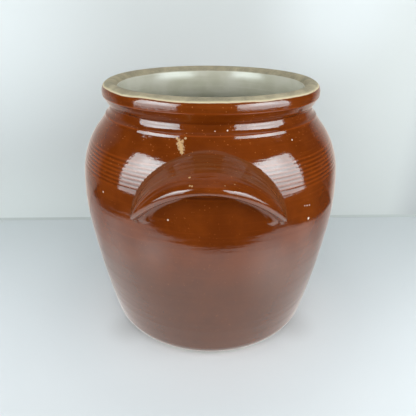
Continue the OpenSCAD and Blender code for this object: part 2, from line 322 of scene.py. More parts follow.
start, thins, end = (
    next(i for i, p in enumerate(outer) if p[1] > z) for z in (BROWN_FROM, BROWN_THINS, BROWN_TO)
)
under = outer[start:end + 1]
over = coat(under, 1, COAT_T, thins - start, end - start)
brown = turn("brown_coat", over + under[::-1], closed=True)

# %% The liner, which climbs a few steps up the crown
pale_under = crown_line[-1 - LINER_CLIMBS:-1] + inner + [Vector((0, FLOOR_T))]
pale_over = coat(pale_under[::-1], -1, COAT_T, len(pale_under) - LINER_CLIMBS - 2, len(pale_under))[::-1]
pale_over[-1] = Vector((0, FLOOR_T + COAT_T))
pale = turn("liner_coat", pale_over + pale_under[::-1])

# %% [markdown]
# ## The lug handles
#
# Each lug is a strap of clay, pressed on the wall along an arch and pulled out into a hood
# with a rounded lip, so that fingers fit under it. It could be carved from a block, but a
# potter bends a strap, and so does this lesson: it starts as a flat grid, and every point of
# the grid is moved to its place on the hood. One way of the grid runs along the arch, and the
# other runs round the strap, over the top, round the lip and back under the hood.

# %% The arch of the lip and of the root
HALF_W, RISE, LUG_Z, LIP_R = 69.5, 60.5, 169.5, 4.5
ROOT_FULL, ROOT_W, FOOT_W, HAUNCH, BLEND_OUT, BLEND_IN = 1.95, 16.0, 11.5, 8.5, 6.0, 13.5
LIP_HALF_W, LIP_RISE, LIP_START, LIP_REACH, LIP_POINT, LIP_BOW = 65.0, 41.5, 3, 34.49, 1.8, 1.6
RUN_OUT, RUN_DOWN, RUN_IN, RUN_NARROW = 9.0, 0.5, 1.05, 0.3
feet_y = math.sqrt(wall_r(LUG_Z) ** 2 - HALF_W**2)


def lip_at(t):
    """Front view, distance out and turn of the lip's middle at station t, in degrees."""
    past = max(0.0, abs(t) - 90)
    level = math.cos(math.radians(t)) if past == 0 else 0.0
    x = math.sin(math.radians(min(90, max(-90, t)))) * (LIP_HALF_W - RUN_NARROW * past)
    z = LIP_RISE * level**LIP_POINT - RUN_DOWN * past
    out = feet_y + LIP_START + LIP_REACH * level**LIP_BOW - RUN_IN * past
    return Vector((math.hypot(x, z), out)), math.degrees(math.atan2(x, z)), past


PHI_END = lip_at(90 + RUN_OUT)[1]


def root_at(phi):
    """Outer and inner edge of the root, and how far its blend runs in, at this turn."""
    end = max(0.0, (abs(phi) - 90) / (PHI_END - 90)) ** 2
    s, c = abs(math.sin(math.radians(phi))), abs(math.cos(math.radians(phi)))
    outer_edge = ((s / HALF_W) ** ROOT_FULL + (c / RISE) ** ROOT_FULL) ** (-1 / ROOT_FULL) - 4 * end
    foot = min(1.0, abs(phi) / 90) ** 2
    haunch = 0.0
    if abs(phi) < 90:
        haunch = abs(math.sin(2 * math.radians(phi))) ** (2.0 if abs(phi) < 45 else 1.4)
    wide = (ROOT_W + (FOOT_W - ROOT_W) * foot + HAUNCH * haunch) * (1 - 0.5 * end)
    blend = BLEND_IN * (1 - 0.4 * foot) * (1 - 0.5 * end)
    return outer_edge, outer_edge - wide - blend, blend


print("feet stand", round(feet_y, 1), "mm out; root", [round(v, 1) for v in root_at(0)])

# %% [markdown]
# Each section of the strap stands in a plane that turns about the line between the feet. It
# starts on the wall, so its ends are found from the same formula as the wall itself. They
# sink a few tenths of a millimetre into the coat, and so no gap can show.

# %% One section of the strap
TOP_STEPS, ROUND_STEPS = 24, 20
SINK, SINK_EDGE = 0.35, 0.2


def wall_y(rho, phi, g):
    """How far out the wall is, rho from the line between the feet, under a coat g thick."""
    x = rho * math.sin(math.radians(phi))
    z = LUG_Z + rho * math.cos(math.radians(phi))
    return math.sqrt((wall_r(z) + g) ** 2 - x * x)


def placed(rho, phi, out):
    """The same point in the pot's own axes, in mm."""
    return (rho * math.sin(math.radians(phi)), -out, LUG_Z + rho * math.cos(math.radians(phi)))


def resample(line, count):
    """The same line with its points evenly spaced."""
    runs = [0.0]
    for a, b in zip(line, line[1:]):
        runs.append(runs[-1] + (b - a).length)
    out, j = [], 0
    for k in range(count):
        want = runs[-1] * k / (count - 1)
        while j < len(runs) - 2 and runs[j + 1] < want:
            j += 1
        share = (want - runs[j]) / max(1e-9, runs[j + 1] - runs[j])
        out.append(line[j].lerp(line[j + 1], min(1.0, share)))
    return out


def section(t, count):
    """Points of the strap at station t: over the top, round the lip and under the hood."""
    lip, phi, past = lip_at(t)
    outer_edge, inner_edge, blend = root_at(phi)
    foot = min(1.0, abs(phi) / 90) ** 2
    top_dir, under_dir = 27 + 33 * foot, 186 - 60 * foot

    def on(rho, g):
        return Vector((rho, wall_y(rho, phi, g)))

    top, below = lip + LIP_R * turned(top_dir), lip + LIP_R * turned(under_dir)
    root, inner_root = on(outer_edge, COAT_T - SINK), on(inner_edge, COAT_T - SINK_EDGE)
    reach = (top - root).length
    near = on(outer_edge - min(BLEND_OUT, reach / 2), COAT_T - SINK_EDGE)
    far = top - 0.35 * reach * turned(top_dir + 90)
    line = []
    for k in range(TOP_STEPS + 1):
        s = k / TOP_STEPS
        line.append(bend(root, near, far, s).lerp(bend(near, far, top, s), s))
    steps = range(1, ROUND_STEPS + 1)
    line += [lip + LIP_R * turned(top_dir + (under_dir - top_dir) * k / ROUND_STEPS) for k in steps]
    line += [bend(below, on(inner_edge + blend, COAT_T + 0.1), inner_root, k / ROUND_STEPS) for k in steps]
    flat = (past / RUN_OUT) ** 2
    points = []
    for k, p in enumerate(resample(line, count)):
        share = k / (count - 1)
        floor_y = wall_y(p[0], phi, COAT_T - SINK)
        ease = 2.2 * foot * min(1.0, 8 * share, 8 * (1 - share))
        high = 0.5 * (p[1] + floor_y + math.sqrt((p[1] - floor_y) ** 2 + ease**2))
        rho = outer_edge + (inner_edge - outer_edge) * share
        points.append(Vector((p[0], high)).lerp(on(rho, COAT_T - 0.1), flat))
    return [placed(p[0], phi, p[1]) for p in points]


print("middle of the lip at", [round(v, 1) for v in section(0.0, 64)[36]])

# %% [markdown]
# The back of the strap lies on the wall, just clear of it, so the grid is folded round and
# its two long edges meet. Wet fingers drag shallow ridges along the top of the hood. These
# move the points a little along their normals, and follow the arch because the grid does.

# %% Stations along the arch, and the drag of wet fingers
ALONG, ROUND, HOOD, END_SHARE, CROWDING = 180, 76, 62, 0.09, 14
LUG_TURN = -0.7
DRAG_FROM, DRAG_TO, RIDGES = 0.015, 0.52, 13


def station(s):
    """Station in degrees, for s from -1 to 1. Stations crowd where the arch bends most."""
    main = 1 - END_SHARE
    if abs(s) < main:
        return 90 * (s / main) - CROWDING * math.sin(math.pi * s / main)
    return math.copysign(90 + RUN_OUT * (abs(s) - main) / END_SHARE, s)


def drag(u, v):
    """Height of the finger ridges, in mm, along the arch (u) and over the top (v)."""
    if not DRAG_FROM < v < DRAG_TO:
        return 0.0
    shift = 0.05 * noise.noise(Vector((u * 5, 0.0, 4.2)))
    strength = 0.6 + 0.8 * noise.noise(Vector((u * 7, v * 3, 1.0)))
    wave = math.sin((v + shift) * 2 * math.pi * RIDGES) * strength
    fine = noise.noise(Vector((u * 3, v * 46, 8.0)))
    edge = min(1.0, (v - DRAG_FROM) * 18, (DRAG_TO - v) * 9)
    return edge * (0.12 * wave + 0.26 * fine)


print("last station", station(1.0), "degrees")

# %% Bend a strap
def strap(name, half_turn):
    """Folds a flat grid round the strap, closes its ends and turns it to its side of the pot."""
    bm = bmesh.new()
    bm.loops.layers.uv.new("along_arch")
    bmesh.ops.create_grid(bm, x_segments=ALONG, y_segments=ROUND, size=0.5, calc_uvs=True)
    rings = {}
    for v in bm.verts:
        i, j = round((v.co.x + 0.5) * ALONG), round((v.co.y + 0.5) * ROUND)
        if i not in rings:
            t = station(2 * i / ALONG - 1)
            ring = [Vector(p) for p in section(t, HOOD + 1)]
            phi = lip_at(t)[1]
            a, b, _ = root_at(phi)
            for k in range(1, ROUND - HOOD):
                rho = b + (a - b) * k / (ROUND - HOOD)
                ring.append(Vector(placed(rho, phi, wall_y(rho, phi, COAT_T - 0.3))))
            rings[i] = ring + [ring[0]]
        v.co = rings[i][j] / 1000
    bmesh.ops.remove_doubles(bm, verts=bm.verts, dist=2e-6)
    ends = [e for e in bm.edges if len(e.link_faces) == 1]
    bmesh.ops.holes_fill(bm, edges=ends, sides=0)
    bmesh.ops.recalc_face_normals(bm, faces=bm.faces)
    grid_uv = bm.loops.layers.uv.active
    to_hood = Vector((1, ROUND / HOOD))
    lifts = [(v, v.normal * drag(*(v.link_loops[0][grid_uv].uv * to_hood)) / 1000) for v in bm.verts]
    for v, lift in lifts:
        v.co += lift
    way_round = math.radians(LUG_TURN + (180 if half_turn else 0))
    bmesh.ops.rotate(bm, verts=bm.verts, cent=(0, 0, 0), matrix=Matrix.Rotation(way_round, 3, "Z"))
    return finish_piece(name, bm, 60)


front = strap("front_hood", False)
rear = strap("rear_hood", True)

# %% [markdown]
# ## Ride on the body
#
# The pot has no moving parts, so all five pieces ride on one body. Each stands for the solid
# of the same kind.

# %% Ride and replace
for piece, node, slot in (
    (clay, "stoneware_body", "bare_stoneware"),
    (brown, "brown_glaze", "brown_glaze"),
    (pale, "liner_glaze", "liner_glaze"),
    (front, "front_lug", "brown_glaze"),
    (rear, "rear_lug", "brown_glaze"),
):
    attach(piece, "root")
    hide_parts(node)
    print(piece.name, "stands for", node)

# %% [markdown]
# ## Tools for mixing glazes
#
# A material is a small network of nodes. A few helpers keep the recipes short. The first two
# add a node and feed its inputs, and the others do sums, make noises and masks, and blend
# colours. `ramp` does most of the work: it turns any measure into a mask with soft ends.

# %% Helpers that add nodes
def feed(tree, target, links):
    """Feeds inputs of a node, by name or number, from sockets or from values."""
    for key, value in links.items():
        if isinstance(value, bpy.types.NodeSocket):
            tree.links.new(value, target.inputs[key])
        else:
            target.inputs[key].default_value = value


def node(tree, kind, links=None, **settings):
    """Adds a node with these settings and feeds its inputs."""
    n = tree.nodes.new(kind)
    for key, value in settings.items():
        setattr(n, key, value)
    feed(tree, n, links or {})
    return n


def math_node(tree, operation, a, b=0.0, c=0.0, clamp=False):
    return node(tree, "ShaderNodeMath", {0: a, 1: b, 2: c}, operation=operation, use_clamp=clamp).outputs[0]


def times(tree, a, b):
    return math_node(tree, "MULTIPLY", a, b)


def gather(tree, operation, masks):
    """Joins several masks into one, as their sum or their maximum."""
    total = masks[0]
    for mask in masks[1:]:
        total = math_node(tree, operation, total, mask)
    return total


def ramp(tree, value, low, high, to_low=0.0, to_high=1.0, smooth=True):
    """Turns low to high into to_low to to_high, and stays level past both ends."""
    links = {0: value, 1: low, 2: high, 3: to_low, 4: to_high}
    kind = "SMOOTHSTEP" if smooth else "LINEAR"
    return node(tree, "ShaderNodeMapRange", links, interpolation_type=kind).outputs[0]


# %% Helpers for places and noises
def object_place(tree):
    return node(tree, "ShaderNodeTexCoord").outputs["Object"]


def axes(tree, place):
    return node(tree, "ShaderNodeSeparateXYZ", {0: place}).outputs


def vector_node(tree, operation, links, output="Vector"):
    return node(tree, "ShaderNodeVectorMath", links, operation=operation).outputs[output]


def distance_to(tree, place, at):
    return vector_node(tree, "DISTANCE", {0: place, 1: at}, "Value")


def soft_noise(tree, place, scale, detail, roughness=0.5):
    links = {"Vector": place, "Scale": scale, "Detail": detail, "Roughness": roughness}
    return node(tree, "ShaderNodeTexNoise", links).outputs["Fac"]


# %% Helpers for colours
def srgb(r, g, b):
    """A colour written as it looks on screen, 0 to 255, as the linear value that nodes take."""
    lin = [c / 255 / 12.92 if c <= 10.3 else ((c / 255 + 0.055) / 1.055) ** 2.4 for c in (r, g, b)]
    return (*lin, 1.0)


def blend_value(tree, share, a, b):
    return node(tree, "ShaderNodeMix", {0: share, 2: a, 3: b}, data_type="FLOAT").outputs[0]


def blend_color(tree, share, a, b):
    return node(tree, "ShaderNodeMix", {0: share, 6: a, 7: b}, data_type="RGBA").outputs[2]


def paint(tree, tone, *layers):
    """Lays colours over a tone, each by its own share. The last one lies on top."""
    for share, color in layers:
        tone = blend_color(tree, share, tone, srgb(*color))
    return tone


print("glaze brown is", [round(c, 3) for c in srgb(118, 55, 12)[:3]])

# %% Helpers for effect groups
FLOAT, COLOR, VECTOR = "NodeSocketFloat", "NodeSocketColor", "NodeSocketVector"


def effect(name, values, outputs):
    """An effect that reads a place and some values. Returns it with both ends of its network."""
    group = bpy.data.node_groups.new(name, "ShaderNodeTree")
    group.interface.new_socket(name="Place", in_out="INPUT", socket_type=VECTOR)
    for label, value in values.items():
        group.interface.new_socket(name=label, in_out="INPUT", socket_type=FLOAT).default_value = value
    for label, kind in outputs.items():
        group.interface.new_socket(name=label, in_out="OUTPUT", socket_type=kind)
    print("effect", name)
    return group, group.nodes.new("NodeGroupInput").outputs, group.nodes.new("NodeGroupOutput").inputs


def use(tree, group, **values):
    """Places an effect in a network and returns what it puts out."""
    return node(tree, "ShaderNodeGroup", values, node_tree=group).outputs


# %% [markdown]
# ## Effects that several finishes share
#
# The wheel leaves everything it touches in level streaks, so the first effect is a noise that
# is squeezed flat in height. The second is the scatter of small specks that iron in the clay
# burns through a glaze. The third is the edge where a sponge wiped the glaze away: a level
# line that wavers and breaks into the pores of the clay.

# %% Level streaks
streaks, gin, gout = effect("wheel_streaks", {"Fineness": 1.0}, {"Streak": FLOAT})
squeezed = vector_node(streaks, "MULTIPLY", {0: gin["Place"], 1: (14.0, 14.0, 420.0)})
scaled = vector_node(streaks, "SCALE", {0: squeezed, 3: gin["Fineness"]})
streaks.links.new(soft_noise(streaks, scaled, 1.0, 3.0, 0.6), gout["Streak"])

# %% Iron specks
specks, gin, gout = effect("iron_specks", {"Spacing": 0.012, "Size": 0.06}, {"Mask": FLOAT})
per_metre = math_node(specks, "DIVIDE", 1.0, gin["Spacing"])
cells = node(specks, "ShaderNodeTexVoronoi", {"Vector": gin["Place"], "Scale": per_metre}).outputs
pick = node(specks, "ShaderNodeSeparateColor", {0: cells["Color"]}).outputs
few = math_node(specks, "GREATER_THAN", pick[0], 0.62)
inside_speck = math_node(specks, "LESS_THAN", cells["Distance"], times(specks, gin["Size"], pick[1]))
specks.links.new(times(specks, inside_speck, few), gout["Mask"])


def speckled(tree, place, spacing, size):
    return use(tree, specks, Place=place, Spacing=spacing, Size=size)[0]


# %% A wiped edge
wiped, gin, gout = effect("wiped_edge", {"Level": 0.2, "Waver": 0.001, "Soft": 0.0004}, {"Bare": FLOAT})
slow = soft_noise(wiped, gin["Place"], 22.0, 4.0, 0.55)
shift = times(wiped, math_node(wiped, "SUBTRACT", slow, 0.5), gin["Waver"])
wavering = math_node(wiped, "ADD", axes(wiped, gin["Place"])[2], shift)
above = math_node(wiped, "SUBTRACT", wavering, gin["Level"])
share = math_node(wiped, "DIVIDE", above, gin["Soft"])
wiped.links.new(math_node(wiped, "ADD", share, 0.5, clamp=True), gout["Bare"])

# %% [markdown]
# ## Bare stoneware
#
# Where no glaze covers it, the fired clay is buff, dry and a little sandy, greyer where
# glaze vapour touched it, with grains of grog and stains that years of use rubbed in.

# %% Bare clay as an effect
bare, gin, gout = effect("bare_clay", {}, {"Color": COLOR, "Height": FLOAT})
place = gin["Place"]
patches = soft_noise(bare, place, 60.0, 5.0, 0.62)
grains = soft_noise(bare, place, 900.0, 2.0)
tone = blend_color(bare, ramp(bare, patches, 0.35, 0.68), srgb(126, 119, 96), srgb(157, 147, 119))
tone = paint(
    bare, tone,
    (ramp(bare, grains, 0.52, 0.75, 0.0, 0.35), (187, 171, 136)),
    (times(bare, speckled(bare, place, 0.004, 0.16), 0.6), (112, 92, 66)),
)
bare.links.new(tone, gout["Color"])
bare.links.new(math_node(bare, "MULTIPLY_ADD", grains, 0.5, patches), gout["Height"])

# %% [markdown]
# ## Where the brown glaze is thin or thick
#
# A salt-brown slip glaze is a thin layer of dark glass. It is deep chestnut where it is
# thick, and breaks to orange where it runs thin over an edge: on the lands between the comb
# grooves, the ridges of the neck, and the lip of a lug. Both are stored on the points of a
# piece as attributes, from how sharply the surface curves and where the grooves run.

# %% Thin and thick, as attributes
LEAST_BEND, BEND_SPAN = 40, 260
BESIDE, BESIDE_W, POOL_W = 1.75, 0.6, 0.65


def mark_thin(piece):
    """Stores on each point, 0 to 1, how thin and how thick the glaze lies there."""
    bm = bmesh.new()
    bm.from_mesh(piece.data)
    bm.normal_update()
    grid_uv = bm.loops.layers.uv.get("along_arch")
    on_wall = grid_uv is None
    bends = []
    for v in bm.verts:
        sharpest = 0.0
        for e in v.link_edges:
            d = e.other_vert(v).co - v.co
            sharpest = max(sharpest, -v.normal.dot(d) / max(d.length_squared, 1e-9))
        bends.append(sharpest if on_wall or 0.2 < v.link_loops[0][grid_uv].uv.y < 0.6 else 0.0)
    bm.free()
    thin = [min(1.0, max(0.0, (bend_here - LEAST_BEND) / BEND_SPAN)) for bend_here in bends]
    thick = [0.0] * len(bends)
    for i, v in enumerate(piece.data.vertices if on_wall else ()):
        for at, _ in GROOVES:
            z = v.co.z * 1000 - at
            land_above = 0.7 * math.exp(-(((z - BESIDE) / BESIDE_W) ** 2))
            land_below = 0.4 * math.exp(-(((z + BESIDE) / BESIDE_W) ** 2))
            thin[i] = max(thin[i], land_above, land_below)
            thick[i] = max(thick[i], math.exp(-((z / POOL_W) ** 2)))
    for name, values in (("thin", thin), ("thick", thick)):
        layer = piece.data.attributes.new(name, "FLOAT", "POINT")
        layer.data.foreach_set("value", values)
    print(piece.name, "thin on", sum(share > 0.2 for share in thin), "points")


for piece in (brown, front, rear):
    mark_thin(piece)

# %% [markdown]
# ## Small marks that the kiln and the maker left
#
# Below the collar a wet finger dragged the glaze off in a short run, and here and there a
# bubble burst and left a pale chip. Each mark is a place in millimetres, its size and how
# ragged it is. A mark is a small ball in space, so only the surface that it touches shows it.

# %% Smears and chips
SMEAR = [
    (-28.2, -106.6, 237.2, 1.5, 1.5), (-26.2, -107.9, 236.4, 1.9, 1.5), (-23.4, -108.9, 235.6, 1.9, 1.5),
    (-25.6, -109.5, 233.7, 3.0, 2.2), (-25.0, -110.2, 232.2, 3.3, 2.4), (-24.2, -111.4, 230.7, 3.4, 2.4),
    (-23.8, -112.9, 229.1, 3.0, 2.2), (-23.4, -114.3, 227.4, 2.3, 1.8), (-20.7, -107.6, 237.4, 1.3, 1.0),
    (-19.7, -104.7, 240.4, 0.9, 1.0), (-16.0, -145.4, 217.1, 1.3, 1.0), (-15.2, -153.9, 213.8, 1.2, 1.0),
    (-13.6, -154.6, 213.7, 1.2, 1.0), (11.1, -154.3, 214.8, 0.8, 1.0), (18.8, -150.2, 214.4, 0.9, 1.0),
]
CHIPS = [
    (-97.9, -93.3, 182.3, 1.1, 1.0), (-35.5, -131.3, 173.5, 1.0, 1.0), (90.1, -102.7, 161.3, 1.6, 1.2),
    (84.6, -106.2, 175.9, 0.8, 1.0), (87.2, -104.2, 175.2, 0.9, 1.0), (89.8, -102.0, 174.6, 0.8, 1.0),
    (71.3, -88.7, 231.2, 0.9, 1.0), (3.6, -105.0, 242.8, 0.7, 1.0), (14.0, -104.2, 243.2, 0.7, 1.0),
]
bare_marks, gin, gout = effect("bare_marks", {}, {"Smear": FLOAT, "Chips": FLOAT})
ragged = soft_noise(bare_marks, gin["Place"], 700.0, 3.0)
for marks, label in ((SMEAR, "Smear"), (CHIPS, "Chips")):
    hits = []
    for *at, size, torn in marks:
        gap = distance_to(bare_marks, gin["Place"], [c / 1000 for c in at])
        near_it = math_node(bare_marks, "DIVIDE", gap, size / 1000)
        near_it = math_node(bare_marks, "MULTIPLY_ADD", ragged, torn, near_it)
        hits.append(ramp(bare_marks, near_it, 1.0 + torn / 2, 0.45 + torn / 2))
    bare_marks.links.new(gather(bare_marks, "MAXIMUM", hits), gout[label])
    print(len(marks), label.lower())

# %% [markdown]
# ## The brown glaze
#
# Its colour is laid on in layers, as `paint` does, from the slow drift between pools to the
# sand and pits on top. Its skin is not flat: fine waves like those of an orange's peel tear
# the edge of every reflection, and level hairs stretch it sideways.

# %% The glaze's colour
glaze, gin, gout = effect(
    "brown_slip_glaze", {"Thin": 0.0, "Thick": 0.0, "Streak": 0.5},
    {"Color": COLOR, "Roughness": FLOAT, "Height": FLOAT},
)
place = gin["Place"]
height_up = axes(glaze, place)[2]
pools = soft_noise(glaze, place, 26.0, 4.0, 0.6)
fine = soft_noise(glaze, place, 700.0, 2.0)
pits = speckled(glaze, place, 0.019, 0.035)
sand = times(glaze, speckled(glaze, place, 0.0021, 0.21), ramp(glaze, height_up, 0.17, 0.22, 0.25, 0.8))
tone = blend_color(glaze, ramp(glaze, pools, 0.35, 0.65), srgb(98, 42, 7), srgb(113, 51, 10))
tone = paint(
    glaze, tone,
    (ramp(glaze, gin["Streak"], 0.5, 0.75, 0.0, 0.3), (130, 62, 18)),
    (ramp(glaze, fine, 0.55, 0.8, 0.0, 0.25), (96, 40, 8)),
    (times(glaze, gin["Thick"], 0.45), (74, 32, 8)),
    (times(glaze, gin["Thin"], 0.75), (142, 65, 16)),
    # painted shade: the glaze is painted darker below about 16 cm, most of all near the foot
    (ramp(glaze, height_up, 0.165, 0.09, 0.0, 0.66), (78, 40, 14)),
    (times(glaze, speckled(glaze, place, 0.0042, 0.13), 0.5), (176, 100, 44)),
    (sand, (184, 112, 60)),
    (times(glaze, pits, 0.8), (52, 22, 8)),
)
glaze.links.new(tone, gout["Color"])
print("colour layers laid on", glaze.name)

# %% The glaze's roughness and skin
glaze.links.new(ramp(glaze, pools, 0.3, 0.7, 0.045, 0.08), gout["Roughness"])
peel = soft_noise(glaze, place, 400.0, 1.0)
hair = use(glaze, streaks, Place=place, Fineness=2.4)[0]
skin = times(glaze, fine, 0.12)
for wave, depth in ((pits, -0.8), (gin["Streak"], 0.5), (peel, 0.34), (hair, 0.2)):
    skin = math_node(glaze, "MULTIPLY_ADD", wave, depth, skin)
glaze.links.new(skin, gout["Height"])
print("skin of", glaze.name)

# %% [markdown]
# The same glaze goes on the wall and on the lugs. On the wall its streaks are level. On a
# lug they run along the arch, so they read the grid's own UV map instead. The top of the hood
# is a greyer brown in streaks: partly the glaze's own drag streaks, partly painted sheen that
# stands in for the room it mirrors. Wall and lugs both show bare clay where a finger or a
# burst bubble took the glaze off, and at the rim a cream line lies between the glaze and the clay.

# %% What every finish of the pot starts and ends with
DRY = 0.75


def new_material(name):
    """A new material, its network, its shader and the place on the piece."""
    mat = bpy.data.materials.new(name)
    mat.use_nodes = True
    tree = mat.node_tree
    return mat, tree, tree.nodes["Principled BSDF"], object_place(tree)


def surface(tree, shader, color, rough, height, strength, depth):
    """Gives a shader its colour and roughness, and bends its normal by a height."""
    bump = node(tree, "ShaderNodeBump", {"Height": height, "Strength": strength, "Distance": depth})
    feed(tree, shader, {"Base Color": color, "Roughness": rough, "Normal": bump.outputs[0]})


# %% Put the brown glaze together
WIPE_LINE, CREAM_LINE = (0.2666, 0.0006), (0.2677, 0.0012)


def brown_material(name, along_arch):
    mat, tree, shader, place = new_material(name)
    thin, thick = (
        node(tree, "ShaderNodeAttribute", attribute_name=n).outputs["Fac"] for n in ("thin", "thick")
    )
    if along_arch:
        grid = node(tree, "ShaderNodeUVMap", uv_map="along_arch").outputs[0]
        stretched = node(tree, "ShaderNodeMapping", {0: grid, 3: (5.0, 90.0, 1.0)}).outputs[0]
        streak = soft_noise(tree, stretched, 1.0, 3.0)
        thin = times(tree, thin, 0.2)
    else:
        streak = use(tree, streaks, Place=place, Fineness=1.0)[0]
    mixed = use(tree, glaze, Place=place, Thin=thin, Thick=thick, Streak=streak)
    clay_look = use(tree, bare, Place=place)
    lost = use(tree, bare_marks, Place=place)
    color = mixed["Color"]
    if along_arch:
        # painted sheen: the top face of the hood is painted a greyer brown in streaks, partly the glaze's
        # own streaks and partly a reflection
        face = ramp(tree, axes(tree, grid)[1], 0.32, 0.24, 0.0, 0.9)
        face = times(tree, face, ramp(tree, streak, 0.38, 0.62, 0.25, 0.8))
        color = paint(tree, color, (face, (104, 62, 34)))
    color = paint(
        tree, color, (times(tree, lost["Smear"], 0.85), (186, 148, 90)), (lost["Chips"], (226, 208, 186)))
    off = math_node(tree, "MAXIMUM", lost["Smear"], lost["Chips"])
    if not along_arch:
        top, past_cream = (
            use(tree, wiped, Place=place, Level=level, Waver=0.0032, Soft=soft)[0]
            for level, soft in (WIPE_LINE, CREAM_LINE)
        )
        dry = blend_color(tree, past_cream, srgb(196, 182, 146), clay_look["Color"])
        color = blend_color(tree, top, color, dry)
        off = math_node(tree, "MAXIMUM", off, top)
    rough = blend_value(tree, off, mixed["Roughness"], DRY)
    height = blend_value(tree, off, mixed["Height"], clay_look["Height"])
    surface(tree, shader, color, rough, height, 0.35, 0.0004)
    shader.inputs["IOR"].default_value = 1.55
    return mat


wall_glaze, lug_glaze = brown_material("brown_glaze_wall", False), brown_material("brown_glaze_lug", True)
brown.data.materials.append(wall_glaze)
front.data.materials.append(lug_glaze)
rear.data.materials.append(lug_glaze)
print("glazed", brown.name, front.name, rear.name)

# %% [markdown]
# ## The liner and the bare clay
#
# The inside has a pale glaze, milky and a little green, because food must not taste of the
# clay. It ends in a soft line on the inner side of the rim. The body of the pot shows only
# at the crown and under the foot.

# %% The liner
lined, tree, shader, place = new_material("pale_liner_glaze")
cloud = soft_noise(tree, place, 30.0, 4.0)
level = use(tree, streaks, Place=place, Fineness=0.7)[0]
tone = blend_color(tree, ramp(tree, cloud, 0.35, 0.65), srgb(183, 183, 165), srgb(195, 195, 181))
tone = paint(
    tree, tone,
    (ramp(tree, level, 0.5, 0.8, 0.0, 0.4), (210, 210, 199)),
    (times(tree, speckled(tree, place, 0.014, 0.04), 0.6), (120, 112, 92)),
)
clay_look = use(tree, bare, Place=place)
top = use(tree, wiped, Place=place, Level=0.2648, Waver=0.002, Soft=0.0008)[0]
color = blend_color(tree, top, tone, clay_look["Color"])
rough = blend_value(tree, top, ramp(tree, cloud, 0.3, 0.7, 0.20, 0.26), DRY)
height = blend_value(tree, top, times(tree, level, 0.4), clay_look["Height"])
surface(tree, shader, color, rough, height, 0.3, 0.0004)
pale.data.materials.append(lined)
print("lined", pale.name)

# %% The bare clay
raw_clay, tree, shader, place = new_material("raw_clay")
clay_look = use(tree, bare, Place=place)
surface(tree, shader, clay_look["Color"], 0.72, clay_look["Height"], 0.4, 0.0005)
clay.data.materials.append(raw_clay)
for name, mat in (
    ("stoneware_body", raw_clay), ("brown_glaze", wall_glaze), ("liner_glaze", lined),
    ("front_lug", lug_glaze), ("rear_lug", lug_glaze),
):
    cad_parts[name].data.materials.clear()
    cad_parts[name].data.materials.append(mat)
print("materials:", [m.name for m in bpy.data.materials])

# %% [markdown]
# ## A small studio
#
# Glossy glaze is a mirror, so a room has to be built for it. The pot stands on a white sheet
# between two tall soft boxes, with a pale wall close behind it, and the room beyond is dark.
# The wall is seen from its front only, so that a camera behind it still sees the pot.

# %% Floor, wall and the seam between them
WALL_Y, WALL_SLANT, WALL_END, WALL_TOP = 0.2116, 0.0335, 1.2, 0.9
FLOOR_END = 3


def stage_sheet(name, points):
    """One flat face that belongs to the stage and not to the pot."""
    bm = bmesh.new()
    bm.faces.new([bm.verts.new(p) for p in points])
    bm.normal_update()
    sheet = finish_piece(name, bm)
    return sheet


def wall_at(x, y=0.0):
    """The foot of the wall, which runs a little further back on the right."""
    return (x, WALL_Y + WALL_SLANT * x + y)


def upright_sheet(name, forward, low, high):
    """A sheet along the wall, this far in front of it, between two heights."""
    left, right = wall_at(-WALL_END, -forward), wall_at(WALL_END, -forward)
    return stage_sheet(name, [(*left, low), (*right, low), (*right, high), (*left, high)])


corners = ((-1, -1), (1, -1), (1, 1), (-1, 1))
floor = stage_sheet("floor", [(FLOOR_END * x, FLOOR_END * y, 0) for x, y in corners])
wall = upright_sheet("back_wall", 0.0, 0.0, WALL_TOP)
seam = upright_sheet("seam", 0.0005, 0.0002, 0.0050)

# %% [markdown]
# A sheet has two looks. Seen directly it is plain paper under the lamps. In the glaze it
# glows by itself, as bright as the real one, so that the reflections can be set without
# changing the background. Each look gets its own tones.

# %% Two looks for a sheet
def stage_network(name):
    mat = bpy.data.materials.new(name)
    mat.use_nodes = True
    mat.node_tree.nodes.clear()
    return mat, mat.node_tree


def two_looks(tree, shown, mirrored, strength, one_sided=True):
    """Lit paper for the eye, and a glow in a reflection. A one-sided sheet is clear from behind."""
    lit = node(tree, "ShaderNodeBsdfDiffuse", {"Color": shown})
    glow = node(tree, "ShaderNodeEmission", {"Color": mirrored, "Strength": strength})
    in_glaze = node(tree, "ShaderNodeLightPath").outputs["Is Glossy Ray"]
    both = node(tree, "ShaderNodeMixShader", {0: in_glaze, 1: lit.outputs[0], 2: glow.outputs[0]})
    if one_sided:
        from_behind = node(tree, "ShaderNodeNewGeometry").outputs["Backfacing"]
        clear = node(tree, "ShaderNodeBsdfTransparent")
        both = node(tree, "ShaderNodeMixShader", {0: from_behind, 1: both.outputs[0], 2: clear.outputs[0]})
    node(tree, "ShaderNodeOutputMaterial", {"Surface": both.outputs[0]})


# %% [markdown]
# The white sheet ends about 20 cm in front of the pot, on a line that runs aslant and turns
# back in round corners. That edge is the line across the belly where the brown turns to a
# milky grey. The sheet is dimmer close to the pot and behind it, and brighter in a patch on
# each side.

# %% What the glaze sees of the floor
SHEET_SKEW, SHEET_LEFT, SHEET_HALF = 0.06, 0.045, 0.343
FRONT_SLANT, FRONT_Y = 0.085, -0.244
CORNER_OUT, CORNER_IN = 0.097, 0.085
LIT_PATCHES = (((-0.205, -0.235, 0.0), 0.11), ((0.190, -0.200, 0.0), 0.13))

